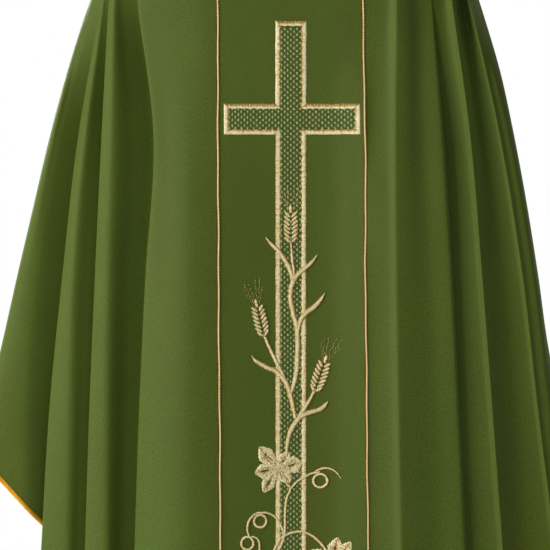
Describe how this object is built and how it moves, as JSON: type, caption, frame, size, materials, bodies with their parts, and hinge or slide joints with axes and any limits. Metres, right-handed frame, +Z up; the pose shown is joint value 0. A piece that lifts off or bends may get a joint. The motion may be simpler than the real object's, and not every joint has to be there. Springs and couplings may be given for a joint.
{
  "type": "chasuble",
  "caption": "Open-sided liturgical vestment with a wide hanging front and back and an embroidered middle strip; goes over the head and rests on the shoulders.",
  "frame": {"origin": "where the vestment rests on the shoulders: mid-width and mid-depth, level with the top of the shoulder seams", "axes": "+Z up, front faces -Y, +X to the right of somebody looking at the front"},
  "size_m": [0.8428, 0.2842, 1.22],
  "materials": {
    "gabardine": "satin twill",
    "gold_thread": "raised satin stitch",
    "fill_thread": "open star stitches on green cloth",
    "gold_cord": "twisted cord",
    "gold_satin": "glossy bias satin",
    "interfacing": "matte stiffener",
    "facing": "matte lining"
  },
  "bodies": {
    "root": {"back_cord_left": "gold_cord", "back_cord_right": "gold_cord", "back_cross_fill": "fill_thread", "back_cross_outline": "gold_thread", "back_grape_cluster": "gold_thread", "back_interfacing": "interfacing", "back_leaf_blades": "gold_thread", "back_left_panel": "gabardine", "back_orphrey": "gabardine", "back_right_panel": "gabardine", "back_tendrils": "gold_thread", "back_vine_leaf_lower": "gold_thread", "back_vine_leaf_upper": "gold_thread", "back_vine_stem": "gold_thread", "back_wheat_ear_centre": "gold_thread", "back_wheat_ear_left": "gold_thread", "back_wheat_ear_right": "gold_thread", "back_wheat_stems": "gold_thread", "front_cord_left": "gold_cord", "front_cord_right": "gold_cord", "front_cross_fill": "fill_thread", "front_cross_outline": "gold_thread", "front_grape_cluster": "gold_thread", "front_interfacing": "interfacing", "front_leaf_blades": "gold_thread", "front_left_panel": "gabardine", "front_orphrey": "gabardine", "front_right_panel": "gabardine", "front_tendrils": "gold_thread", "front_vine_leaf_lower": "gold_thread", "front_vine_leaf_upper": "gold_thread", "front_vine_stem": "gold_thread", "front_wheat_ear_centre": "gold_thread", "front_wheat_ear_left": "gold_thread", "front_wheat_ear_right": "gold_thread", "front_wheat_stems": "gold_thread", "hem_binding_back": "gold_satin", "hem_binding_front": "gold_satin", "neck_cord": "gold_cord", "neck_facing_back": "facing", "neck_facing_front": "facing", "shoulder_tape_left": "facing", "shoulder_tape_right": "facing"}
  },
  "joints": []
}
